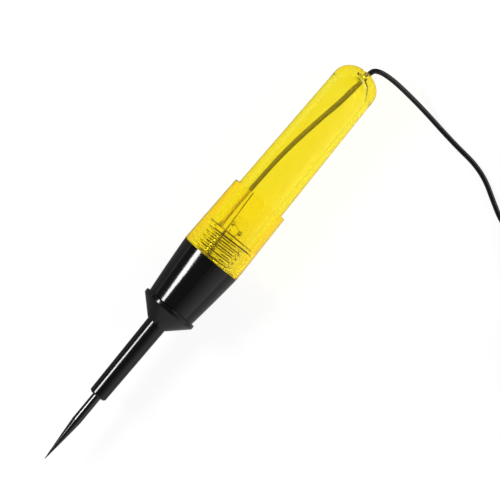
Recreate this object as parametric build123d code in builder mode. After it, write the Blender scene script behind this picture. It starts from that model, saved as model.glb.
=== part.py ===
"""A wired 6/12 V circuit tester: a needle probe in a screwed nose, a lamp in a clear handle, an earth lead.

Millimetres. The tool lies along X with its point at -X, over Z = 0, and its origin is below its middle.
A "station" is a distance from the needle's point along the tool's axis.
"""

import math
import os

from build123d import *

# ---- driving dimensions ----------------------------------------------------------------------------------
tool_length = 140.0

needle_radius = 1.35
shank_radius = 1.1  # inside the sleeve, up to the shoulder at its mouth
point_length = 13.9
point_tip_radius = 0.08
point_bulge = 0.04
needle_head_radius = 2.7
needle_head_thickness = 2.0

sleeve_start = 22.8
sleeve_tip_radius = 2.65
sleeve_radius = 3.0
sleeve_chamfer = 0.5
sleeve_socket_depth = 8.0

cone_start = 48.7
cone_start_radius = 3.2
rim_start = 53.7
rim_thickness = 1.2
rim_radius = 8.4
barrel_foot_radius = 7.57
barrel_middle_station = 66.0
barrel_middle_radius = 8.72
barrel_top_radius = 9.25
joint_station = 72.2  # where the collar meets the nose
joint_gap = 0.05

pocket_radius = 3.0
pocket_floor = 58.0
bush_foot = 66.0  # of the clear threaded bush pressed into the nose
bush_top = 79.95
bush_core_radius = 5.05
bush_mouth_radius = 3.7  # above the seat of the lamp's flange
flange_seat = 71.35

thread_pitch = 1.5
thread_mean_radius = 5.5
thread_flank = math.tan(math.radians(30))
male_crest_radius = 5.8
male_width = 0.6  # at the mean radius
female_width = 0.6
female_root_radius = 6.0
female_crest_radius = 5.22
threaded_wall_radius = 7.0
mouth_radius = 6.25  # of the lead-in at the collar's edge
male_thread_start = 73.3
male_thread_end = 79.3
female_thread_end = 80.6
parting_flat_angle = 13.0  # from straight up, towards +Y
parting_flat_width = 0.9
parting_flat_radius = 5.2
ridge_embed = 0.15  # how far a ridge's foot goes into the wall that carries it

collar_low_radius = 9.31
collar_top_radius = 8.8
collar_top = 93.8
handle_foot_radius = 7.6
handle_end_radius = 6.8
dome_start = 134.6
bore_radius = 5.1
thread_zone_end = 80.8
bore_dome_start = 132.0
bore_end = 137.6
exit_hole_radius = 1.6
countersink_radius = 2.4
edge_round = 0.25

ring_station = 80.8
ring_thickness = 0.3
ring_inner_radius = 3.15
strip_foot = (72.15, 1.24)  # station and side, on the lamp's flange
strip_end = (93.9, 2.36)
strip_low = 2.75  # its underside, above the tool's axis
strip_widths = (0.7, 0.2)  # below the ring and above it
strip_highs = (2.98, 3.4)

lamp_glass_radius = 2.8
lamp_neck_radius = 2.55
lamp_glass_wall = 0.35
lamp_glass_foot = 70.0
lamp_neck_end = 72.3
lamp_glass_shoulder = 73.0
lamp_dome_start = 84.4
lamp_glass_top = 87.2
lamp_shell_radius = 2.85
lamp_shell_wall = 0.3
lamp_shell_foot = 67.6
lamp_flange_radius = 3.55
lamp_flange_foot = 71.4
lamp_flange_top = 72.15
insulator_thickness = 0.8
tip_contact_radius = 2.1
tip_contact_round = 0.3
tip_contact_height = 0.8
support_radius = 0.14
support_foot_spread = 0.7
support_tops = ((82.7, -1.7), (83.8, 1.45))  # station and side of each support's upper end
support_clamp_radius = 0.7
bead_station = 80.6
bead_radius = 0.62
bead_height = 0.87
bead_above = 0.12  # the bend's start stands this far above the bead
filament_radius = 0.08
filament_rise = 0.35

spring_wire = 0.4
spring_mean_radius = 1.5
spring_pitch = 1.15
spring_gap = 0.05

lead_diameter = 1.5
conductor_radius = 0.65
lead_side = 4.05  # where the lead reaches the contact ring, towards +Y
solder_radius = 0.98
solder_height = 1.0
solder_waist = 0.86
solder_top_radius = 0.72

coil_centre = (72.1, -70.5)
coil_mean_radius = 9.0
coil_bundle = 6.0
coil_lift = 0.3
coil_round = 1.6
tie_thickness = 0.3
tie_angle = 18.0
twist_radius = 0.55
twist_rise = 0.3  # of its axis above the tie
twist_length = 6.0

clip_pivot = (33.5, -103.7)
clip_heading = 219.7  # degrees, from the grips to the jaws
clip_height = 8.0
fixed_arm_low = 0.9
moving_arm_low = 1.5
clip_sheet = 0.5
clip_rear = -25.0
jaw_end = 21.0
tooth_pitch = 1.3
tooth_depth = 0.6
tooth_count = 10
jaw_gap = 0.15  # half the gap between the two jaws' teeth
jaw_nose = 1.2  # the arm's height at its tip
pin_radius = 1.0
pin_clearance = 0.05
pin_head_radius = 1.9
pin_head_height = 0.45
grip_front = -9.0
grip_rear = -27.2
grip_wall = 0.9
grip_mouth_gap = 0.05
crimp_wall = 0.45
crimp_length = 4.0
clip_spring_wire = 0.6
clip_spring_radius = 1.8
clip_spring_pitch = 0.8
clip_spring_turns = 3
clip_spring_leg = (-7.5, 3.85)  # where its legs end, along and across the clip

# ---- frames ----------------------------------------------------------------------------------------------
half_length = tool_length / 2
axis_height = collar_low_radius
tool_axis = Axis((-half_length, 0, axis_height), (1, 0, 0))
# x is the station and y the radius
profile_plane = Plane(origin=(-half_length, 0, axis_height), x_dir=(1, 0, 0), z_dir=(0, -1, 0))


def section_at(station):
    """The plane square to the tool's axis: its x is +Y, its y is +Z, and it extrudes towards the lead."""
    return Plane(origin=(station - half_length, 0, axis_height), x_dir=(0, 1, 0), z_dir=(1, 0, 0))


def on_tool(station, side, height):
    """A point given by its station, and its distances from the axis towards +Y and +Z."""
    return (station - half_length, side, axis_height + height)


def helical_ridge(start, end, low_radius, high_radius, width_at_mean):
    """A helical ridge about the tool's axis, with 60 degree flanks, narrower as the radius grows."""
    low_half = width_at_mean / 2 + (thread_mean_radius - low_radius) * thread_flank
    high_half = width_at_mean / 2 - (high_radius - thread_mean_radius) * thread_flank
    foot = Vector(*on_tool(start, 0, 0))
    with BuildPart() as ridge:
        with BuildLine() as path:
            Helix(thread_pitch, end - start, thread_mean_radius, center=foot, direction=(1, 0, 0))
        outwards = (path.line @ 0 - foot).normalized()
        along = Vector(1, 0, 0)
        with BuildSketch(Plane(origin=foot, x_dir=along, z_dir=along.cross(outwards))):
            with BuildLine():
                Polyline((-low_half, low_radius), (-high_half, high_radius), (high_half, high_radius),
                         (low_half, low_radius), close=True)
            make_face()
        sweep(is_frenet=True)
    return ridge.part


def corner_radii(points):
    """An arc as large as its two runs allow, for each inner point of a route."""
    radii = []
    for before, corner, after in zip(points, points[1:], points[2:]):
        run_in = Vector(corner) - Vector(before)
        run_out = Vector(after) - Vector(corner)
        half_turn = math.radians(run_in.get_angle(run_out) / 2)
        radii.append(0.45 * min(run_in.length, run_out.length) / math.tan(half_turn))
    return radii


def tube_along(name, points, diameter):
    """A round tube of straight runs joined by tangent arcs; prints its radii, length and volume."""
    radii = corner_radii(points)
    with BuildPart() as tube:
        with BuildLine() as route:
            FilletPolyline(*points, radius=radii)
        with BuildSketch(Plane(origin=route.line @ 0, z_dir=route.line % 0)):
            Circle(diameter / 2)
        sweep()
    length = sum(edge.length for edge in route.edges())
    expected = math.pi * diameter**2 / 4 * length
    print(f"{name}: length {length:.1f}, volume {tube.part.volume:.1f} of {expected:.1f}, radii",
          " ".join(f"{radius:.1f}" for radius in radii))
    return tube.part


# ---- probe: needle, sleeve and nose ----------------------------------------------------------------------
with BuildPart() as probe_needle:
    head_foot = pocket_floor
    head_top = pocket_floor + needle_head_thickness
    point_middle = (point_length / 2, (point_tip_radius + needle_radius) / 2 + point_bulge)
    with BuildSketch(profile_plane):
        with BuildLine():
            Polyline((0, 0), (0, point_tip_radius))
            ThreePointArc((0, point_tip_radius), point_middle, (point_length, needle_radius))
            Polyline((point_length, needle_radius), (sleeve_start, needle_radius),
                     (sleeve_start, shank_radius), (head_foot, shank_radius),
                     (head_foot, needle_head_radius), (head_top - edge_round, needle_head_radius),
                     (head_top, needle_head_radius - edge_round), (head_top, 0), (0, 0))
        make_face()
    revolve(axis=tool_axis)
probe_needle.part.label = "probe_needle"

with BuildPart() as probe_sleeve:
    socket_end = cone_start + sleeve_socket_depth
    with BuildSketch(profile_plane):
        with BuildLine():
            Polyline((sleeve_start, shank_radius),
                     (sleeve_start, sleeve_tip_radius - sleeve_chamfer),
                     (sleeve_start + sleeve_chamfer, sleeve_tip_radius),
                     (cone_start, sleeve_radius), (socket_end, sleeve_radius),
                     (socket_end, shank_radius), close=True)
        make_face()
    revolve(axis=tool_axis)
probe_sleeve.part.label = "probe_sleeve"

with BuildPart() as nose_body:
    rim_end = rim_start + rim_thickness
    shoulder = joint_station - joint_gap
    with BuildSketch(profile_plane):
        with BuildLine():
            Polyline((cone_start, sleeve_radius), (cone_start, cone_start_radius),
                     (rim_start, rim_radius), (rim_end, rim_radius), (rim_end, barrel_foot_radius))
            ThreePointArc((rim_end, barrel_foot_radius), (barrel_middle_station, barrel_middle_radius),
                          (shoulder, barrel_top_radius))
            Polyline((shoulder, barrel_top_radius), (shoulder, bush_core_radius),
                     (bush_foot, bush_core_radius), (bush_foot, pocket_radius),
                     (pocket_floor, pocket_radius), (pocket_floor, shank_radius),
                     (socket_end, shank_radius), (socket_end, sleeve_radius),
                     (cone_start, sleeve_radius))
        make_face()
    revolve(axis=tool_axis)
    rim_edges = nose_body.edges().filter_by(GeomType.CIRCLE).filter_by(
        lambda edge: abs(edge.radius - rim_radius) < 0.01)
    fillet(rim_edges, radius=edge_round)
nose_body.part.label = "nose_body"

male_thread = helical_ridge(male_thread_start, male_thread_end, bush_core_radius - ridge_embed,
                            male_crest_radius, male_width)

with BuildPart() as nose_thread:
    with BuildSketch(profile_plane):
        with BuildLine():
            Polyline((bush_foot, pocket_radius), (bush_foot, bush_core_radius),
                     (bush_top - edge_round, bush_core_radius), (bush_top, bush_core_radius - edge_round),
                     (bush_top, bush_mouth_radius), (flange_seat, bush_mouth_radius),
                     (flange_seat, pocket_radius), close=True)
        make_face()
    revolve(axis=tool_axis)
    add(male_thread)
    # flats through the thread, where the two halves of the mould meet
    for side_angle in (parting_flat_angle, parting_flat_angle + 180):
        with BuildSketch(section_at(joint_station)):
            with PolarLocations(parting_flat_radius + parting_flat_width / 2, 1,
                                start_angle=90 - side_angle):
                Rectangle(parting_flat_width, parting_flat_width)
        extrude(amount=bush_top - joint_station, mode=Mode.SUBTRACT)
nose_thread.part.label = "nose_thread"

with BuildPart() as contact_spring:
    spring_foot = Vector(*on_tool(head_top + spring_gap + spring_wire / 2, 0, 0))
    lamp_contact_foot = lamp_shell_foot - insulator_thickness / 2 - tip_contact_height
    spring_height = lamp_contact_foot - head_top - 2 * spring_gap - spring_wire
    with BuildLine() as spring_line:
        Helix(spring_pitch, spring_height, spring_mean_radius, center=spring_foot, direction=(1, 0, 0))
    with BuildSketch(Plane(origin=spring_line.line @ 0, z_dir=spring_line.line % 0)):
        Circle(spring_wire / 2)
    sweep(is_frenet=True)
contact_spring.part.label = "contact_spring"

# ---- lamp ------------------------------------------------------------------------------------------------
with BuildPart() as lamp_shell:
    shell_inner = lamp_shell_radius - lamp_shell_wall
    with BuildSketch(profile_plane):
        with BuildLine():
            Polyline((lamp_shell_foot, shell_inner), (lamp_shell_foot, lamp_shell_radius),
                     (lamp_flange_foot, lamp_shell_radius), (lamp_flange_foot, lamp_flange_radius),
                     (lamp_flange_top, lamp_flange_radius), (lamp_flange_top, shell_inner), close=True)
        make_face()
    revolve(axis=tool_axis)
lamp_shell.part.label = "lamp_shell"

with BuildPart() as lamp_glass:
    dome_length = lamp_glass_top - lamp_dome_start
    with BuildSketch(profile_plane):
        with BuildLine():
            Polyline((lamp_glass_foot, lamp_neck_radius - lamp_glass_wall),
                     (lamp_glass_foot, lamp_neck_radius), (lamp_neck_end, lamp_neck_radius),
                     (lamp_glass_shoulder, lamp_glass_radius), (lamp_dome_start, lamp_glass_radius))
            EllipticalCenterArc((lamp_dome_start, 0), dome_length, lamp_glass_radius,
                                start_angle=0, arc_size=90)
            Line((lamp_glass_top, 0), (lamp_glass_top - lamp_glass_wall, 0))
            EllipticalCenterArc((lamp_dome_start, 0), dome_length - lamp_glass_wall,
                                lamp_glass_radius - lamp_glass_wall, start_angle=0, arc_size=90)
            Polyline((lamp_dome_start, lamp_glass_radius - lamp_glass_wall),
                     (lamp_glass_shoulder, lamp_glass_radius - lamp_glass_wall),
                     (lamp_neck_end, lamp_neck_radius - lamp_glass_wall),
                     (lamp_glass_foot, lamp_neck_radius - lamp_glass_wall))
        make_face()
    revolve(axis=tool_axis)
lamp_glass.part.label = "lamp_glass"

insulator_foot = lamp_shell_foot - insulator_thickness / 2
with BuildPart() as lamp_insulator:
    with BuildSketch(section_at(insulator_foot)):
        Circle(shell_inner)
    extrude(amount=insulator_thickness)
    with BuildSketch(section_at(insulator_foot)):
        with Locations((-support_foot_spread, 0), (support_foot_spread, 0)):
            Circle(support_radius)
    extrude(amount=insulator_thickness, mode=Mode.SUBTRACT)
lamp_insulator.part.label = "lamp_insulator"

with BuildPart() as lamp_tip_contact:
    with BuildSketch(section_at(insulator_foot)):
        Circle(tip_contact_radius)
    extrude(amount=-tip_contact_height)
    tip_face_edges = lamp_tip_contact.edges().group_by(Axis.X)[0]
    fillet(tip_face_edges, radius=tip_contact_round)
lamp_tip_contact.part.label = "lamp_tip_contact"

with BuildPart() as lamp_supports:
    for top_station, top_side in support_tops:
        foot_side = math.copysign(support_foot_spread, top_side)
        support_route = [on_tool(insulator_foot, foot_side, 0), on_tool(bead_station, foot_side, 0),
                         on_tool(top_station, top_side, 0)]
        with BuildLine() as support_line:
            FilletPolyline(*support_route, radius=bead_radius)
        with BuildSketch(Plane(origin=support_line.line @ 0, z_dir=support_line.line % 0)):
            Circle(support_radius)
        sweep(path=support_line.line)
        with Locations(support_route[-1]):
            Sphere(support_clamp_radius)
lamp_supports.part.label = "lamp_supports"

with BuildPart() as lamp_bead:
    with BuildSketch(section_at(bead_station - bead_above - bead_height)):
        SlotCenterToCenter(2 * support_foot_spread, 2 * bead_radius)
    extrude(amount=bead_height)
    fillet(lamp_bead.edges().group_by(Axis.X)[0] + lamp_bead.edges().group_by(Axis.X)[-1],
           radius=bead_radius / 2)
    add(lamp_supports.part, mode=Mode.SUBTRACT)
lamp_bead.part.label = "lamp_bead"

with BuildPart() as lamp_filament:
    low_end, high_end = support_tops
    middle_station = (low_end[0] + high_end[0]) / 2 + filament_rise
    with BuildLine() as filament_line:
        ThreePointArc(on_tool(*low_end, 0), on_tool(middle_station, (low_end[1] + high_end[1]) / 2, 0),
                      on_tool(*high_end, 0))
    with BuildSketch(Plane(origin=filament_line.line @ 0, z_dir=filament_line.line % 0)):
        Circle(filament_radius)
    sweep()
lamp_filament.part.label = "lamp_filament"

# ---- handle ----------------------------------------------------------------------------------------------
# whole turns before the male thread's start, so that the two stay in step
female_thread = helical_ridge(male_thread_start - 2 * thread_pitch, female_thread_end,
                              bore_radius - ridge_embed, female_root_radius, thread_pitch - female_width)

# the threaded wall is made as a bush of its own, then joined to the handle
with BuildPart() as threaded_wall:
    with BuildSketch(profile_plane):
        with BuildLine():
            Polyline((joint_station, mouth_radius), (joint_station, threaded_wall_radius),
                     (thread_zone_end, threaded_wall_radius), (thread_zone_end, female_crest_radius),
                     (joint_station + mouth_radius - female_crest_radius, female_crest_radius),
                     close=True)
        make_face()
    revolve(axis=tool_axis)
    add(female_thread, mode=Mode.SUBTRACT)

with BuildPart() as handle:
    with BuildSketch(profile_plane):
        with BuildLine():
            Polyline((joint_station, threaded_wall_radius), (joint_station, collar_low_radius),
                     (collar_top, collar_top_radius), (collar_top, handle_foot_radius),
                     (dome_start, handle_end_radius))
            EllipticalCenterArc((dome_start, 0), tool_length - dome_start, handle_end_radius,
                                start_angle=0, arc_size=90)
            Line((tool_length, 0), (bore_end, 0))
            EllipticalCenterArc((bore_dome_start, 0), bore_end - bore_dome_start, bore_radius,
                                start_angle=0, arc_size=90)
            Polyline((bore_dome_start, bore_radius), (thread_zone_end, bore_radius),
                     (thread_zone_end, threaded_wall_radius), (joint_station, threaded_wall_radius))
        make_face()
    revolve(axis=tool_axis)
    collar_edges = handle.edges().filter_by(GeomType.CIRCLE).filter_by(
        lambda edge: min(abs(edge.radius - collar_top_radius), abs(edge.radius - collar_low_radius)) < 0.01)
    fillet(collar_edges, radius=edge_round)
    add(threaded_wall.part)
    with BuildSketch(section_at(bore_end - 1)):
        Circle(exit_hole_radius)
    extrude(amount=tool_length, mode=Mode.SUBTRACT)
    sink_depth = countersink_radius - exit_hole_radius
    with BuildSketch(profile_plane):
        with BuildLine():
            Polyline((tool_length + 1, 0), (tool_length + 1, countersink_radius + 1),
                     (tool_length - sink_depth - 0.2, exit_hole_radius),
                     (tool_length - sink_depth - 0.2, 0), close=True)
        make_face()
    revolve(axis=tool_axis, mode=Mode.SUBTRACT)
handle.part.label = "handle"

# ---- contacts inside the handle --------------------------------------------------------------------------
ring_top = ring_station + ring_thickness
strip_slope = (strip_end[1] - strip_foot[1]) / (strip_end[0] - strip_foot[0])
with BuildPart() as contact_ring:
    with BuildSketch(section_at(ring_station)):
        Circle(bore_radius)
        Circle(ring_inner_radius, mode=Mode.SUBTRACT)
    extrude(amount=ring_thickness)
    # a straight strip from the lamp's flange to the ring, then a thin tag on edge above it
    strip_ring = (ring_top, strip_foot[1] + strip_slope * (ring_top - strip_foot[0]))
    strip_runs = ((strip_foot, strip_ring), (strip_ring, strip_end))
    for (start, end), width, high in zip(strip_runs, strip_widths, strip_highs):
        with BuildSketch(Plane(origin=on_tool(0, 0, strip_low))):
            with BuildLine():
                Polyline((start[0], start[1] - width / 2), (start[0], start[1] + width / 2),
                         (end[0], end[1] + width / 2), (end[0], end[1] - width / 2), close=True)
            make_face()
        extrude(amount=high - strip_low)
contact_ring.part.label = "contact_ring"

stripped_route = [
    on_tool(ring_top, lead_side, 0),
    on_tool(83.6, lead_side, 0),
    on_tool(88.5, 4.15, -0.35),
    on_tool(93.6, 4.03, -0.6),
]
lead_conductor_part = tube_along("lead_conductor", stripped_route, 2 * conductor_radius)
lead_conductor_part.label = "lead_conductor"

with BuildPart() as lead_solder:
    solder_axis = Axis(on_tool(0, lead_side, 0), (1, 0, 0))
    with BuildSketch(profile_plane.offset(-lead_side)):
        with BuildLine():
            Line((ring_top, conductor_radius), (ring_top, solder_radius))
            ThreePointArc((ring_top, solder_radius),
                          (ring_top + solder_height / 2, solder_waist),
                          (ring_top + solder_height, solder_top_radius))
            Polyline((ring_top + solder_height, solder_top_radius),
                     (ring_top + solder_height, conductor_radius), (ring_top, conductor_radius))
        make_face()
    revolve(axis=solder_axis)
lead_solder.part.label = "lead_solder"

# ---- lead ------------------------------------------------------------------------------------------------
inner_route = [
    stripped_route[-1],
    on_tool(97.2, 3.945, -0.78),
    on_tool(105.5, 3.65, -1.3),
    on_tool(113.0, 2.85, -1.55),
    on_tool(120.0, 1.75, -1.3),
    on_tool(126.8, 0.5, -0.7),
    on_tool(133.0, -0.3, -0.15),
    on_tool(137.2, -0.6, 0),
    on_tool(140.0, -1.05, 0),
]
lead_inner_part = tube_along("lead_inner", inner_route, lead_diameter)
lead_inner_part.label = "lead_inner"

cord_route = [
    (70.0, -1.05, 9.31),
    (71.05, -1.22, 9.31),
    (71.85, -2.0, 9.15),
    (72.4, -3.25, 8.8),
    (72.8, -5.2, 8.2),
    (73.0, -8.6, 7.0),
    (72.8, -14.0, 4.7),
    (72.3, -20.3, 2.4),
    (71.4, -27.0, 0.95),
    (70.6, -33.6, 0.75),
    (70.15, -39.6, 0.75),
    (68.6, -45.0, 0.75),
    (65.6, -50.2, 0.75),
    (62.7, -55.4, 0.75),
    (61.2, -60.8, 0.78),
    (60.85, -66.0, 0.9),
    (60.95, -70.5, 1.05),
]
lead_cord_part = tube_along("lead_cord", cord_route, lead_diameter)
lead_cord_part.label = "lead_cord"

with BuildPart() as lead_coil:
    coil_axis = Axis((coil_centre[0], coil_centre[1], 0), (0, 0, 1))
    with BuildSketch(Plane(origin=(coil_centre[0], coil_centre[1], 0), x_dir=(1, 0, 0), z_dir=(0, -1, 0))):
        with Locations((coil_mean_radius, coil_lift + coil_bundle / 2)):
            RectangleRounded(coil_bundle, coil_bundle, coil_round)
    revolve(axis=coil_axis)
lead_coil.part.label = "lead_coil"

with BuildPart() as lead_tie:
    tie_plane = Plane(origin=(coil_centre[0], coil_centre[1], 0), x_dir=(1, 0, 0), z_dir=(0, -1, 0))
    tie_outer = coil_bundle + 2 * tie_thickness
    with BuildSketch(tie_plane.rotated((0, 0, -tie_angle / 2))):
        with Locations((coil_mean_radius, coil_lift + coil_bundle / 2)):
            RectangleRounded(tie_outer, tie_outer, coil_round + tie_thickness)
            RectangleRounded(coil_bundle, coil_bundle, coil_round, mode=Mode.SUBTRACT)
    revolve(axis=coil_axis, revolution_arc=tie_angle)
    tie_top = coil_lift + coil_bundle + tie_thickness
    twist_foot = (coil_centre[0] + coil_mean_radius - twist_length / 2, coil_centre[1],
                  tie_top + twist_rise)
    with BuildSketch(Plane(origin=twist_foot, x_dir=(0, 1, 0), z_dir=(1, 0, 0))):
        Circle(twist_radius)
    extrude(amount=twist_length)
lead_tie.part.label = "lead_tie"

# ---- earth clip, lying on its side -----------------------------------------------------------------------
heading = math.radians(clip_heading)
clip_plane = Plane(origin=(clip_pivot[0], clip_pivot[1], 0),
                   x_dir=(math.cos(heading), math.sin(heading), 0), z_dir=(0, 0, 1))

arm_back = [(clip_rear, 8.6), (-6.0, 4.6), (5.0, 4.4), (20.4, 2.2)]  # the spine's outside, rear to front
arm_inner = [(-4.6, 0.6), (-8.0, 2.5), (clip_rear, 6.2)]  # the cheeks' free edge behind the pivot
ear = [(4.6, -0.4), (3.0, -2.0), (-3.0, -2.0)]


def tooth_edge():
    """The jaw's toothed edge, from the tip back."""
    edge = []
    for tooth in range(tooth_count):
        tip = jaw_end - tooth * tooth_pitch
        edge += [(tip, jaw_gap), (tip - tooth_pitch / 2, jaw_gap + tooth_depth)]
    return edge


def mirrored(points, side):
    return [(x, side * y) for x, y in points]


def arm_slope():
    """The direction of the arm's rear part, from the rear forwards, for the arm on +y."""
    x0, y0 = arm_back[0]
    x1, y1 = arm_back[1]
    run = math.hypot(x1 - x0, y1 - y0)
    return (x1 - x0) / run, (y1 - y0) / run


def clip_arm(side, low):
    """One channel-section arm of pressed sheet: a spine and two toothed cheeks with ears for the pin."""
    high = clip_height - low
    outline = arm_back + [(jaw_end, jaw_nose)] + tooth_edge() + ear + arm_inner
    under_spine = [(x, y - clip_sheet) for x, y in arm_back]
    channel = [(clip_rear - 1, under_spine[0][1] + 0.2)] + under_spine[1:] + [
        (jaw_end + 2, 0.4), (jaw_end + 2, -4), (clip_rear - 1, -4)]
    with BuildPart() as arm:
        with BuildSketch(clip_plane.offset(low)):
            with BuildLine():
                Polyline(*mirrored(outline, side), close=True)
            make_face()
        extrude(amount=high - low)
        with BuildSketch(clip_plane.offset(low + clip_sheet)):
            with BuildLine():
                Polyline(*mirrored(channel, side), close=True)
            make_face()
        extrude(amount=high - low - 2 * clip_sheet, mode=Mode.SUBTRACT)
        with BuildSketch(clip_plane):
            Circle(pin_radius + pin_clearance)
        extrude(amount=clip_height, mode=Mode.SUBTRACT)
    return arm.part


def clip_grip(side, low):
    """A soft sleeve over the rear of an arm, closed at its end."""
    high = clip_height - low
    slope_x, slope_y = arm_slope()
    depth = arm_back[0][1] - arm_inner[2][1]

    def back_at(x):
        return arm_back[0][1] + (x - arm_back[0][0]) * slope_y / slope_x

    def free_at(x):
        x0, y0 = arm_inner[2]
        x1, y1 = arm_inner[1]
        return y0 + (x - x0) * (y1 - y0) / (x1 - x0)

    shell = [(grip_rear, back_at(grip_rear) + grip_wall), (grip_front, back_at(grip_front) + grip_wall),
             (grip_front, free_at(grip_front) - grip_wall), (grip_rear, free_at(grip_rear) - grip_wall)]
    hollow = [(clip_rear, back_at(clip_rear)), (grip_front + 1, back_at(grip_front + 1)),
              (grip_front + 1, free_at(grip_front + 1)), (clip_rear, free_at(clip_rear))]
    arm_low = low + grip_wall
    with BuildPart() as grip:
        with BuildSketch(clip_plane.offset(low)):
            with BuildLine():
                Polyline(*mirrored(shell, side), close=True)
            make_face()
        extrude(amount=high - low)
        fillet(grip.edges().filter_by(Axis.Z), radius=depth / 3)
        with BuildSketch(clip_plane.offset(arm_low)):
            with BuildLine():
                Polyline(*mirrored(hollow, side), close=True)
            make_face()
        extrude(amount=high - low - 2 * grip_wall, mode=Mode.SUBTRACT)
    return grip.part


# the lead runs into the fixed arm along its rear part, half way up the clip
crimp_slope = arm_slope()
crimp_mouth = (clip_rear, -(arm_back[0][1] - clip_sheet - lead_diameter / 2 - crimp_wall + pin_clearance))
crimp_heading = Vector(crimp_slope[0], -crimp_slope[1], 0)


def on_clip(x, y, z):
    """A point given in the clip's own frame: along it, across it, and up."""
    return tuple(clip_plane.from_local_coords(Vector(x, y, z)))


def before_crimp(distance, z=clip_height / 2):
    """A point on the crimp's line, that far before its mouth."""
    return on_clip(crimp_mouth[0] - distance * crimp_heading.X,
                   crimp_mouth[1] - distance * crimp_heading.Y, z)


crimp_plane = Plane(origin=before_crimp(0), x_dir=(0, 0, 1),
                    z_dir=Vector(*before_crimp(-1)) - Vector(*before_crimp(0)))

fixed_arm = clip_arm(-1, fixed_arm_low)
moving_arm = clip_arm(1, moving_arm_low)
fixed_grip = clip_grip(-1, fixed_arm_low - grip_wall)
moving_grip = clip_grip(1, moving_arm_low - grip_wall)

with BuildPart() as clip_lower_arm:
    add(fixed_arm)
    with BuildSketch(crimp_plane):
        Circle(lead_diameter / 2 + crimp_wall)
    extrude(amount=crimp_length)
    with BuildSketch(crimp_plane):
        Circle(lead_diameter / 2)
    extrude(amount=crimp_length, mode=Mode.SUBTRACT)
clip_lower_arm.part.label = "clip_lower_arm"

with BuildPart() as clip_upper_arm:
    add(moving_arm)
clip_upper_arm.part.label = "clip_upper_arm"

with BuildPart() as clip_lower_grip:
    add(fixed_grip)
    with BuildSketch(crimp_plane):
        Circle(lead_diameter / 2 + crimp_wall)
    extrude(amount=crimp_length, mode=Mode.SUBTRACT)
    with BuildSketch(crimp_plane):
        Circle(lead_diameter / 2 + grip_mouth_gap)
    extrude(amount=-2 * (clip_rear - grip_rear), mode=Mode.SUBTRACT)
clip_lower_grip.part.label = "clip_lower_grip"

with BuildPart() as clip_upper_grip:
    add(moving_grip)
clip_upper_grip.part.label = "clip_upper_grip"

with BuildPart() as clip_pin:
    pin_foot = fixed_arm_low - pin_head_height
    with BuildSketch(clip_plane.offset(pin_foot)):
        Circle(pin_head_radius)
    extrude(amount=pin_head_height)
    with BuildSketch(clip_plane.offset(pin_foot)):
        Circle(pin_radius)
    extrude(amount=clip_height - 2 * pin_foot)
    with BuildSketch(clip_plane.offset(clip_height - fixed_arm_low)):
        Circle(pin_head_radius)
    extrude(amount=pin_head_height)
clip_pin.part.label = "clip_pin"

with BuildPart() as clip_spring:
    spring_rise = clip_spring_pitch * clip_spring_turns
    spring_low = (clip_height - spring_rise) / 2
    spring_centre = Vector(clip_pivot[0], clip_pivot[1], spring_low)
    with BuildLine() as torsion_line:
        Helix(clip_spring_pitch, spring_rise, clip_spring_radius, center=spring_centre)
    with BuildSketch(Plane(origin=torsion_line.line @ 0, z_dir=torsion_line.line % 0)):
        Circle(clip_spring_wire / 2)
    sweep(is_frenet=True)
    for end_point, side in ((torsion_line.line @ 0, -1), (torsion_line.line @ 1, 1)):
        leg_target = Vector(*on_clip(clip_spring_leg[0], side * clip_spring_leg[1], end_point.Z))
        with BuildSketch(Plane(origin=end_point, z_dir=leg_target - end_point)):
            Circle(clip_spring_wire / 2)
        extrude(amount=(leg_target - end_point).length)
clip_spring.part.label = "clip_spring"

tail_route = [
    (63.2, -63.6, 5.4),
    (60.7, -66.8, 5.2),
    (57.6, -70.9, 4.2),
    before_crimp(8.0, 3.2),
    before_crimp(3.5, 3.7),
    before_crimp(1.0),
    before_crimp(-1.5),
]
lead_tail_part = tube_along("lead_tail", tail_route, lead_diameter)
lead_tail_part.label = "lead_tail"

# ---- export ----------------------------------------------------------------------------------------------
parts = [probe_needle.part, probe_sleeve.part, nose_body.part, contact_spring.part,
         lamp_shell.part, lamp_glass.part, lamp_insulator.part, lamp_tip_contact.part,
         lamp_supports.part, lamp_bead.part, lamp_filament.part, nose_thread.part,
         handle.part, contact_ring.part, lead_conductor_part, lead_solder.part,
         lead_inner_part, lead_cord_part, lead_coil.part, lead_tie.part, lead_tail_part,
         clip_lower_arm.part, clip_upper_arm.part, clip_lower_grip.part, clip_upper_grip.part,
         clip_pin.part, clip_spring.part]
os.makedirs("parts", exist_ok=True)
for piece in parts:
    export_step(piece, f"parts/{piece.label}.step")
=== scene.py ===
import math

import bpy
from mathutils import Matrix, Vector


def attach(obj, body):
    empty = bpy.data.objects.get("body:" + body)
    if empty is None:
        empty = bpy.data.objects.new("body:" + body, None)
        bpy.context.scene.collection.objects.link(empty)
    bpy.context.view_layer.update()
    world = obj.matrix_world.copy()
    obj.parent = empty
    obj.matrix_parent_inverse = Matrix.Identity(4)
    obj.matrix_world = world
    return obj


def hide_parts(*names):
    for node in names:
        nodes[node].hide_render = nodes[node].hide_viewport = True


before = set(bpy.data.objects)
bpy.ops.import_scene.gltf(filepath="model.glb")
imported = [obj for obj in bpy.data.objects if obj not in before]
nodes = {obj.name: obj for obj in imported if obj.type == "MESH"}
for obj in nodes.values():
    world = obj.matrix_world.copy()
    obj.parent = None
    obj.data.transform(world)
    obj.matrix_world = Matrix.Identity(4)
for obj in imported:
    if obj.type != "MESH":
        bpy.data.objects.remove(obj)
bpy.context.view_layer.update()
scene = bpy.context.scene
MM = 0.001
HALF_TOOL = 70.0  # millimetres from the frame's origin to the needle's point, along the tool
AXIS_HEIGHT = 9.31 * MM

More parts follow.
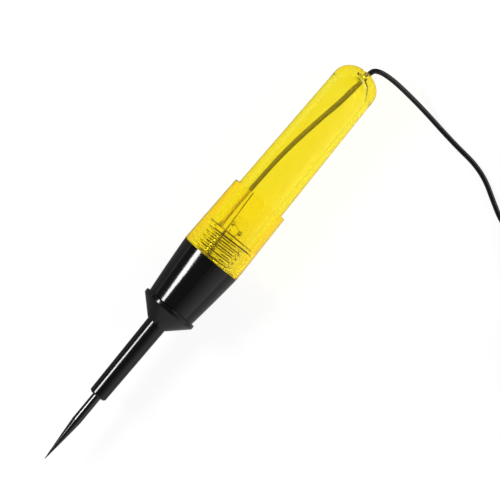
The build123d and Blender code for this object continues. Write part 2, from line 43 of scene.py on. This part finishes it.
# ---- camera ------------------------------------------------------------------------------------
VIEW_CENTRE = Vector((0.01115, -0.0068, AXIS_HEIGHT))
VIEW_WIDTH = 0.1390
CAMERA_DISTANCE = 0.8
IMAGE_RIGHT = Vector((0.63922, -0.76902, 0.0))
IMAGE_UP = Vector((0.76902, 0.63922, 0.0))

camera_data = bpy.data.cameras.new("camera")
camera_data.sensor_width = 36.0
camera_data.lens = camera_data.sensor_width * CAMERA_DISTANCE / VIEW_WIDTH
camera_data.clip_start = 0.01
camera_data.clip_end = 10.0
camera = bpy.data.objects.new("camera", camera_data)
turn = Matrix((IMAGE_RIGHT, IMAGE_UP, (0, 0, 1))).transposed().to_4x4()
camera.matrix_world = Matrix.Translation(VIEW_CENTRE + Vector((0, 0, CAMERA_DISTANCE))) @ turn
scene.collection.objects.link(camera)
scene.camera = camera


# ---- finishes ----------------------------------------------------------------------------------
NOISE_LOW, NOISE_HIGH = 0.3, 0.7  # most of a noise's values lie between these


def add_node(tree, kind, **values):
    """A new shader node. Each value goes to the input of that name, or else to the node's own setting."""
    made = tree.nodes.new(kind)
    for key, value in values.items():
        socket = key.replace("_", " ")
        if socket in made.inputs:
            made.inputs[socket].default_value = value
        else:
            setattr(made, key, value)
    return made


def finish(name, colours, roughness, grain=900.0, relief=0.0, stretch=(1, 1, 1), **fixed):
    """A procedural finish: two near colours and two roughnesses mixed by a noise, and a fine relief."""
    material = bpy.data.materials.new(name)
    material.use_nodes = True
    tree = material.node_tree
    shader = tree.nodes["Principled BSDF"]
    for socket, value in fixed.items():
        shader.inputs[socket.replace("_", " ")].default_value = value
    place = add_node(tree, "ShaderNodeTexCoord")
    spread = add_node(tree, "ShaderNodeMapping", Scale=stretch)
    tree.links.new(place.outputs["Object"], spread.inputs["Vector"])
    broad = add_node(tree, "ShaderNodeTexNoise", Scale=grain / 6, Detail=3.0)
    fine = add_node(tree, "ShaderNodeTexNoise", Scale=grain * 3, Detail=4.0)
    for noise in (broad, fine):
        tree.links.new(spread.outputs["Vector"], noise.inputs["Vector"])
    tint = add_node(tree, "ShaderNodeMix", data_type="RGBA")
    tint.inputs[6].default_value = (*colours[0], 1)
    tint.inputs[7].default_value = (*colours[1], 1)
    tree.links.new(broad.outputs["Fac"], tint.inputs["Factor"])
    tree.links.new(tint.outputs[2], shader.inputs["Base Color"])
    dull = add_node(tree, "ShaderNodeMapRange", From_Min=NOISE_LOW, From_Max=NOISE_HIGH,
                    To_Min=roughness[0], To_Max=roughness[1])
    tree.links.new(fine.outputs["Fac"], dull.inputs["Value"])
    tree.links.new(dull.outputs["Result"], shader.inputs["Roughness"])
    if relief:
        bump = add_node(tree, "ShaderNodeBump", Strength=1.0, Distance=relief)
        tree.links.new(fine.outputs["Fac"], bump.inputs["Height"])
        tree.links.new(bump.outputs["Normal"], shader.inputs["Normal"])
    return material


def let_lamps_through(material, tint):
    """Lamps reach what is behind this glass; every other ray bends as in glass."""
    tree = material.node_tree
    shader = tree.nodes["Principled BSDF"]
    output = tree.nodes["Material Output"]
    path = add_node(tree, "ShaderNodeLightPath")
    clear = add_node(tree, "ShaderNodeBsdfTransparent", Color=(*tint, 1))
    mix = add_node(tree, "ShaderNodeMixShader")
    tree.links.new(path.outputs["Is Shadow Ray"], mix.inputs[0])
    tree.links.new(shader.outputs[0], mix.inputs[1])
    tree.links.new(clear.outputs[0], mix.inputs[2])
    tree.links.new(mix.outputs[0], output.inputs["Surface"])


def colour_through(material, tint, density):
    """The light in this material takes on the tint, more so the further it goes."""
    tree = material.node_tree
    absorb = add_node(tree, "ShaderNodeVolumeAbsorption", Color=(*tint, 1), Density=density)
    tree.links.new(absorb.outputs[0], tree.nodes["Material Output"].inputs["Volume"])


def dress(material, *names):
    """Puts the material on each of the named CAD nodes."""
    for name in names:
        for slot in nodes[name].material_slots:
            slot.material = material


black_plastic = finish("black_plastic", ((0.004, 0.004, 0.0045), (0.006, 0.006, 0.0065)), (0.10, 0.14),
                       relief=0.000002)
sleeve_plastic = finish("sleeve_plastic", ((0.004, 0.004, 0.0045), (0.006, 0.006, 0.0065)), (0.12, 0.18),
                        relief=0.000003)
black_pvc = finish("black_pvc", ((0.008, 0.008, 0.009), (0.013, 0.013, 0.014)), (0.13, 0.2),
                   relief=0.000002)
# painted scattered light: the lead inside the handle is coloured paler than the black outer lead, standing in
# for the light the plastic scatters in front of it
inner_pvc_painted_haze = finish("inner_pvc_painted_haze", ((0.17, 0.15, 0.12), (0.13, 0.115, 0.09)), (0.3, 0.4), relief=0.000004)
needle_steel = finish("needle_steel", ((0.062, 0.062, 0.065), (0.085, 0.085, 0.09)), (0.16, 0.22),
                      stretch=(0.06, 1, 1), relief=0.000001, Metallic=1.0)
yellow = finish("yellow_clear", ((0.956, 0.912, 0.36), (0.946, 0.897, 0.33)), (0.01, 0.03),
                IOR=1.43, Transmission_Weight=0.97)
colour_through(yellow, (0.998, 0.976, 0.45), 800.0)
let_lamps_through(yellow, (1.0, 0.93, 0.35))
# a low index, as the close thread round the bush hides most of its outline
yellow_bush = finish("yellow_bush", ((0.985, 0.96, 0.80), (0.98, 0.95, 0.76)), (0.01, 0.03),
                     IOR=1.03, Transmission_Weight=1.0)
let_lamps_through(yellow_bush, (1.0, 0.98, 0.85))
glass = finish("lamp_glass", ((0.99, 0.99, 0.99), (0.97, 0.98, 0.98)), (0.0, 0.02),
               IOR=1.02, Transmission_Weight=1.0)
let_lamps_through(glass, (0.95, 0.95, 0.95))
bronze = finish("bronze", ((0.22, 0.14, 0.06), (0.15, 0.09, 0.04)), (0.35, 0.5),
                relief=0.000004, Metallic=1.0)
brass = finish("brass", ((0.80, 0.60, 0.28), (0.70, 0.50, 0.22)), (0.22, 0.35), relief=0.000003, Metallic=1.0)
tin = finish("tin", ((0.72, 0.70, 0.67), (0.60, 0.58, 0.56)), (0.25, 0.4), relief=0.00001, Metallic=1.0)
bare_strands = finish("bare_strands", ((0.52, 0.43, 0.30), (0.40, 0.32, 0.22)), (0.4, 0.55), relief=0.00002,
                      stretch=(0.1, 1, 1), Metallic=0.2)
vitrite = finish("vitrite", ((0.015, 0.012, 0.012), (0.03, 0.025, 0.025)), (0.15, 0.3))
nickel_wire = finish("nickel_wire", ((0.66, 0.62, 0.55), (0.54, 0.50, 0.44)), (0.35, 0.5), Metallic=1.0)
bead_glass = finish("bead_glass", ((0.75, 0.82, 0.80), (0.65, 0.72, 0.70)), (0.1, 0.2))
plated_steel = finish("plated_steel", ((0.74, 0.73, 0.71), (0.62, 0.61, 0.59)), (0.34, 0.48),
                      relief=0.000004, Metallic=1.0)
spring_steel = finish("spring_steel", ((0.42, 0.41, 0.40), (0.34, 0.33, 0.33)), (0.25, 0.4),
                      relief=0.000003, Metallic=1.0)
vinyl = finish("vinyl", ((0.010, 0.010, 0.010), (0.018, 0.018, 0.018)), (0.28, 0.42), relief=0.00002)
tie_plastic = finish("tie_plastic", ((0.014, 0.014, 0.014), (0.024, 0.024, 0.024)), (0.35, 0.5),
                     relief=0.00001)


# ---- lead --------------------------------------------------------------------------------------
def on_tool(station, side, height):
    """A point in millimetres, given from the needle's point and from the axis."""
    return (station - HALF_TOOL, side, AXIS_HEIGHT / MM + height)


LEAD_DIAMETER = 1.5
inner_route = [
    on_tool(93.6, 4.03, -0.6),
    on_tool(97.2, 3.945, -0.78),
    on_tool(105.5, 3.65, -1.3),
    on_tool(113.0, 2.85, -1.55),
    on_tool(120.0, 1.75, -1.3),
    on_tool(126.8, 0.5, -0.7),
    on_tool(133.0, -0.3, -0.15),
    on_tool(137.2, -0.6, 0),
    on_tool(140.0, -1.05, 0),
]
cord_route = [
    (70.0, -1.05, 9.31),
    (71.05, -1.22, 9.31),
    (71.85, -2.0, 9.15),
    (72.4, -3.25, 8.8),
    (72.8, -5.2, 8.2),
    (73.0, -8.6, 7.0),
    (72.8, -14.0, 4.7),
    (72.3, -20.3, 2.4),
    (71.4, -27.0, 0.95),
    (70.6, -33.6, 0.75),
    (70.15, -39.6, 0.75),
    (68.6, -45.0, 0.75),
    (65.6, -50.2, 0.75),
    (62.7, -55.4, 0.75),
    (61.2, -60.8, 0.78),
    (60.85, -66.0, 0.9),
]
CRIMP_MOUTH = (48.296, -82.384)
CRIMP_BACK = (0.6213, 0.7836)  # from the clip's crimp back along the lead


def before_crimp(distance, z=4.0):
    """A point on the crimp's line, that far before its mouth."""
    return (CRIMP_MOUTH[0] + distance * CRIMP_BACK[0], CRIMP_MOUTH[1] + distance * CRIMP_BACK[1], z)


tail_route = [
    (60.7, -66.8, 5.2),
    (57.6, -70.9, 4.2),
    before_crimp(8.0, 3.2),
    before_crimp(3.5, 3.7),
    before_crimp(1.0),
    before_crimp(-1.5),
]

COIL_CENTRE = (72.1, -70.5)
TURN_POINTS = 14
# for each layer of the coil, from the bottom up: its height, and the radii of its rows in winding order
COIL_LAYERS = [
    (1.08, [11.2, 9.75, 8.3, 6.85]),
    (2.55, [6.8, 8.25, 9.7, 11.15]),
    (4.02, [11.15, 9.7, 8.25, 6.8]),
    (5.5, [8.0, 9.6, 10.9]),
]
COIL_START = 180.0  # degrees, where the lead comes in
COIL_END = 142.0  # where it leaves
STAY_IN_ROW = 0.72  # of each turn, and the rest steps across to the next row


def coil_points():
    """The put-away turns, wound in layers, from where the lead comes in to where it leaves."""
    rows = [(radius, height) for height, radii in COIL_LAYERS for radius in radii]
    whole_turns = len(rows) - 1
    total = whole_turns * 360.0 + (COIL_END - COIL_START) % 360.0
    count = round(total / 360.0 * TURN_POINTS)
    points = []
    for index in range(count + 1):
        turned = total * index / count
        row = min(turned / 360.0, whole_turns)
        low = int(row)
        high = min(low + 1, whole_turns)
        across = min(max((row - low - STAY_IN_ROW) / (1 - STAY_IN_ROW), 0.0), 1.0)
        across = across * across * (3 - 2 * across)  # eased at both ends
        radius = rows[low][0] + (rows[high][0] - rows[low][0]) * across
        height = rows[low][1] + (rows[high][1] - rows[low][1]) * across
        angle = math.radians(COIL_START + turned)
        # control points stand outside the round line by this much
        reach = radius / math.cos(math.pi / TURN_POINTS) ** 0.5
        points.append((COIL_CENTRE[0] + reach * math.cos(angle),
                       COIL_CENTRE[1] + reach * math.sin(angle), height))
    return points


SPLINE_STEPS = 6  # round the cord, and between two control points


def spline_piece(name, points, diameter, material):
    """A round cord on a smooth spline through the route's control points, in millimetres."""
    data = bpy.data.curves.new(name, "CURVE")
    data.dimensions = "3D"
    data.bevel_depth = diameter / 2 * MM
    data.bevel_resolution = SPLINE_STEPS
    data.use_fill_caps = True
    data.resolution_u = SPLINE_STEPS
    data.materials.append(material)
    spline = data.splines.new("NURBS")
    spline.points.add(len(points) - 1)
    for point, place in zip(spline.points, points):
        point.co = (place[0] * MM, place[1] * MM, place[2] * MM, 1.0)
    spline.order_u = 3
    spline.use_endpoint_u = True
    piece = bpy.data.objects.new(name, data)
    scene.collection.objects.link(piece)
    return piece


free_lead_points = cord_route + coil_points() + tail_route
free_lead = spline_piece("free_lead", free_lead_points, LEAD_DIAMETER, black_pvc)
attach(free_lead, "handle")
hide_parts("lead_cord", "lead_coil", "lead_tail")
# the inner lead wears the paler colour of painted scattered light, not the black of its PVC
inner_lead = spline_piece("inner_lead", inner_route, LEAD_DIAMETER, inner_pvc_painted_haze)
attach(inner_lead, "handle")
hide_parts("lead_inner")

dress(black_plastic, "nose_body")
dress(sleeve_plastic, "probe_sleeve")
dress(needle_steel, "probe_needle")
dress(yellow, "handle")
dress(yellow_bush, "nose_thread")
dress(glass, "lamp_glass")
dress(brass, "lamp_shell")
dress(bronze, "contact_ring")
dress(tin, "lamp_tip_contact", "lead_solder")
dress(bare_strands, "lead_conductor")
dress(vitrite, "lamp_insulator")
dress(nickel_wire, "lamp_supports", "lamp_filament")
dress(bead_glass, "lamp_bead")
dress(plated_steel, "clip_lower_arm", "clip_upper_arm", "clip_pin")
dress(spring_steel, "clip_spring", "contact_spring")
dress(vinyl, "clip_lower_grip", "clip_upper_grip")
dress(tie_plastic, "lead_tie")

# ---- nose --------------------------------------------------------------------------------------
BARREL_PROFILE = ((54.95, 7.57), (58.0, 7.87), (61.0, 8.18), (64.0, 8.50), (66.0, 8.72), (68.0, 8.91),
                  (70.0, 9.09), (71.9, 9.243))  # station and radius up the barrel
PARTING_TURN = math.radians(-18.2)  # from straight up, towards -Y
RIDGE_SECTION = ((-0.13, -0.09), (-0.13, -0.01), (-0.06, 0.012), (0.0, 0.018), (0.06, 0.012), (0.13, -0.01),
                 (0.13, -0.09))  # across the ridge, and out from the barrel


def parting_ridges():
    """The mould's two parting lines, each a low closed ridge up the barrel."""
    places = []
    faces = []
    around = len(RIDGE_SECTION)
    for turn in (PARTING_TURN, PARTING_TURN + math.pi):
        first = len(places)
        outward = Vector((0, math.sin(turn), math.cos(turn)))
        along = Vector((0, math.cos(turn), -math.sin(turn)))
        for station, radius in BARREL_PROFILE:
            for across, out in RIDGE_SECTION:
                spot = Vector(on_tool(station, 0, 0)) + outward * (radius + out) + along * across
                places.append(spot * MM)
        for ring in range(len(BARREL_PROFILE) - 1):
            start = first + ring * around
            for step in range(around):
                after = (step + 1) % around
                faces.append((start + step, start + after, start + around + after, start + around + step))
        faces.append(tuple(range(first + around - 1, first - 1, -1)))
        last = len(places) - around
        faces.append(tuple(range(last, last + around)))
    mesh = bpy.data.meshes.new("nose_parting_line")
    mesh.from_pydata(places, [], faces)
    mesh.materials.append(black_plastic)
    piece = bpy.data.objects.new("nose_parting_line", mesh)
    scene.collection.objects.link(piece)
    return piece


parting_line = parting_ridges()
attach(parting_line, "nose")

# ---- floor and light ---------------------------------------------------------------------------
FLOOR_REACH = 3.0
FLOOR_GLOW = 0.90  # to the camera, and through the clear plastic
FLOOR_IN_GLOSS = (0.30, 0.04)  # in reflections, on the -Y side and on the +Y side
FLOOR_CHANGE = (-0.006, 0.004)  # the Y at which the one turns into the other
FLOOR_EVEN = (0.08, 0.2)  # from the origin, between these it turns even
FLOOR_ON_DULL = 0.6  # on what is dull


def stage_mesh(name, corners):
    """A flat face that belongs to the setting, and not to the object."""
    mesh = bpy.data.meshes.new(name)
    mesh.from_pydata(corners, [], [tuple(range(len(corners)))])
    thing = bpy.data.objects.new(name, mesh)
    scene.collection.objects.link(thing)
    return thing


floor = stage_mesh("floor", [(-FLOOR_REACH, -FLOOR_REACH, 0), (FLOOR_REACH, -FLOOR_REACH, 0),
                             (FLOOR_REACH, FLOOR_REACH, 0), (-FLOOR_REACH, FLOOR_REACH, 0)])
floor_material = finish("floor_white", ((0.20, 0.20, 0.20), (0.19, 0.19, 0.19)), (0.85, 0.95), grain=60.0,
                        Emission_Color=(1, 1, 1, 1))
# the backlit floor is white to the camera and through the clear plastic, dimmer in reflections
tree = floor_material.node_tree
link = tree.links.new
ray = add_node(tree, "ShaderNodeLightPath")
place = tree.nodes["Texture Coordinate"].outputs["Object"]
mirrored = add_node(tree, "ShaderNodeMath", operation="SUBTRACT", use_clamp=True)
link(ray.outputs["Is Glossy Ray"], mirrored.inputs[0])
link(ray.outputs["Is Transmission Ray"], mirrored.inputs[1])
place_parts = add_node(tree, "ShaderNodeSeparateXYZ")
link(place, place_parts.inputs[0])
across = add_node(tree, "ShaderNodeMapRange", interpolation_type="SMOOTHSTEP",
                  From_Min=FLOOR_CHANGE[0], From_Max=FLOOR_CHANGE[1],
                  To_Min=FLOOR_IN_GLOSS[0], To_Max=FLOOR_IN_GLOSS[1])
link(place_parts.outputs["Y"], across.inputs["Value"])
far_off = add_node(tree, "ShaderNodeVectorMath", operation="LENGTH")
link(place, far_off.inputs[0])
farness = add_node(tree, "ShaderNodeMapRange", From_Min=FLOOR_EVEN[0], From_Max=FLOOR_EVEN[1])
link(far_off.outputs["Value"], farness.inputs["Value"])
near_or_far = add_node(tree, "ShaderNodeMix", B=FLOOR_IN_GLOSS[0])
link(across.outputs["Result"], near_or_far.inputs["A"])
link(farness.outputs["Result"], near_or_far.inputs["Factor"])
in_gloss = add_node(tree, "ShaderNodeMix", A=FLOOR_GLOW)
link(near_or_far.outputs["Result"], in_gloss.inputs["B"])
link(mirrored.outputs[0], in_gloss.inputs["Factor"])
on_dull = add_node(tree, "ShaderNodeMix", B=FLOOR_ON_DULL)
link(in_gloss.outputs["Result"], on_dull.inputs["A"])
link(ray.outputs["Is Diffuse Ray"], on_dull.inputs["Factor"])
link(on_dull.outputs["Result"], tree.nodes["Principled BSDF"].inputs["Emission Strength"])
floor.data.materials.append(floor_material)


def panel(name, middle, aim, width, length, radiance, side=(1, 0, 0)):
    """A flat lamp of even brightness, facing aim, with its length along side."""
    data = bpy.data.lights.new(name, "AREA")
    data.shape = "RECTANGLE"
    data.size = length
    data.size_y = width
    data.energy = radiance * math.pi * width * length
    lamp = bpy.data.objects.new(name, data)
    back = (Vector(middle) - Vector(aim)).normalized()
    along = Vector(side)
    along = (along - back * along.dot(back)).normalized()
    turn = Matrix((along, back.cross(along), back)).transposed().to_4x4()
    lamp.matrix_world = Matrix.Translation(middle) @ turn
    scene.collection.objects.link(lamp)


def from_axis(x, angle, distance):
    """A point that far from the tool's axis, at that angle in degrees from straight up towards +Y."""
    return (x, distance * math.sin(math.radians(angle)),
            AXIS_HEIGHT + distance * math.cos(math.radians(angle)))


STRIP_DISTANCE = 0.6
SIDE_DISTANCE = 0.8
SIDE_RADIANCES = (0.12, 0.26, 0.42, 0.55, 0.68)  # on the -Y side, from the top down to the floor
SIDE_FIRST, SIDE_STEP = -27.0, -14.0  # degrees from straight up
ROOM_IN_REFLECTIONS = 0.08
ROOM_THROUGH_PLASTIC = 0.45

strip_low = Vector(from_axis(-0.172, 40.5, STRIP_DISTANCE))
strip_high = Vector(from_axis(-0.045, 54.5, STRIP_DISTANCE))
strip_length = (strip_high - strip_low).length
panel("strip", (strip_low + strip_high) / 2, (-0.115, 0, AXIS_HEIGHT), 0.115, strip_length, 26.0,
      side=strip_high - strip_low)
for step, radiance in enumerate(SIDE_RADIANCES):
    panel(f"side_{step}", from_axis(0.0, SIDE_FIRST + SIDE_STEP * step, SIDE_DISTANCE), (0.0, 0, AXIS_HEIGHT),
          0.2, 2.0, radiance)
panel("behind", (0.52, -0.27, 0.30), (0.066, 0, 0.01), 0.18, 0.42, 3.0, side=(0.5, 0.85, 0))

world = bpy.data.worlds.new("studio")
world.use_nodes = True
background = world.node_tree.nodes["Background"]
background.inputs["Color"].default_value = (1, 1, 1, 1)
world_ray = add_node(world.node_tree, "ShaderNodeLightPath")
room = add_node(world.node_tree, "ShaderNodeMix", A=ROOM_IN_REFLECTIONS, B=ROOM_THROUGH_PLASTIC)
world.node_tree.links.new(world_ray.outputs["Is Transmission Ray"], room.inputs["Factor"])
world.node_tree.links.new(room.outputs["Result"], background.inputs["Strength"])
scene.world = world

scene.view_settings.view_transform = "Standard"
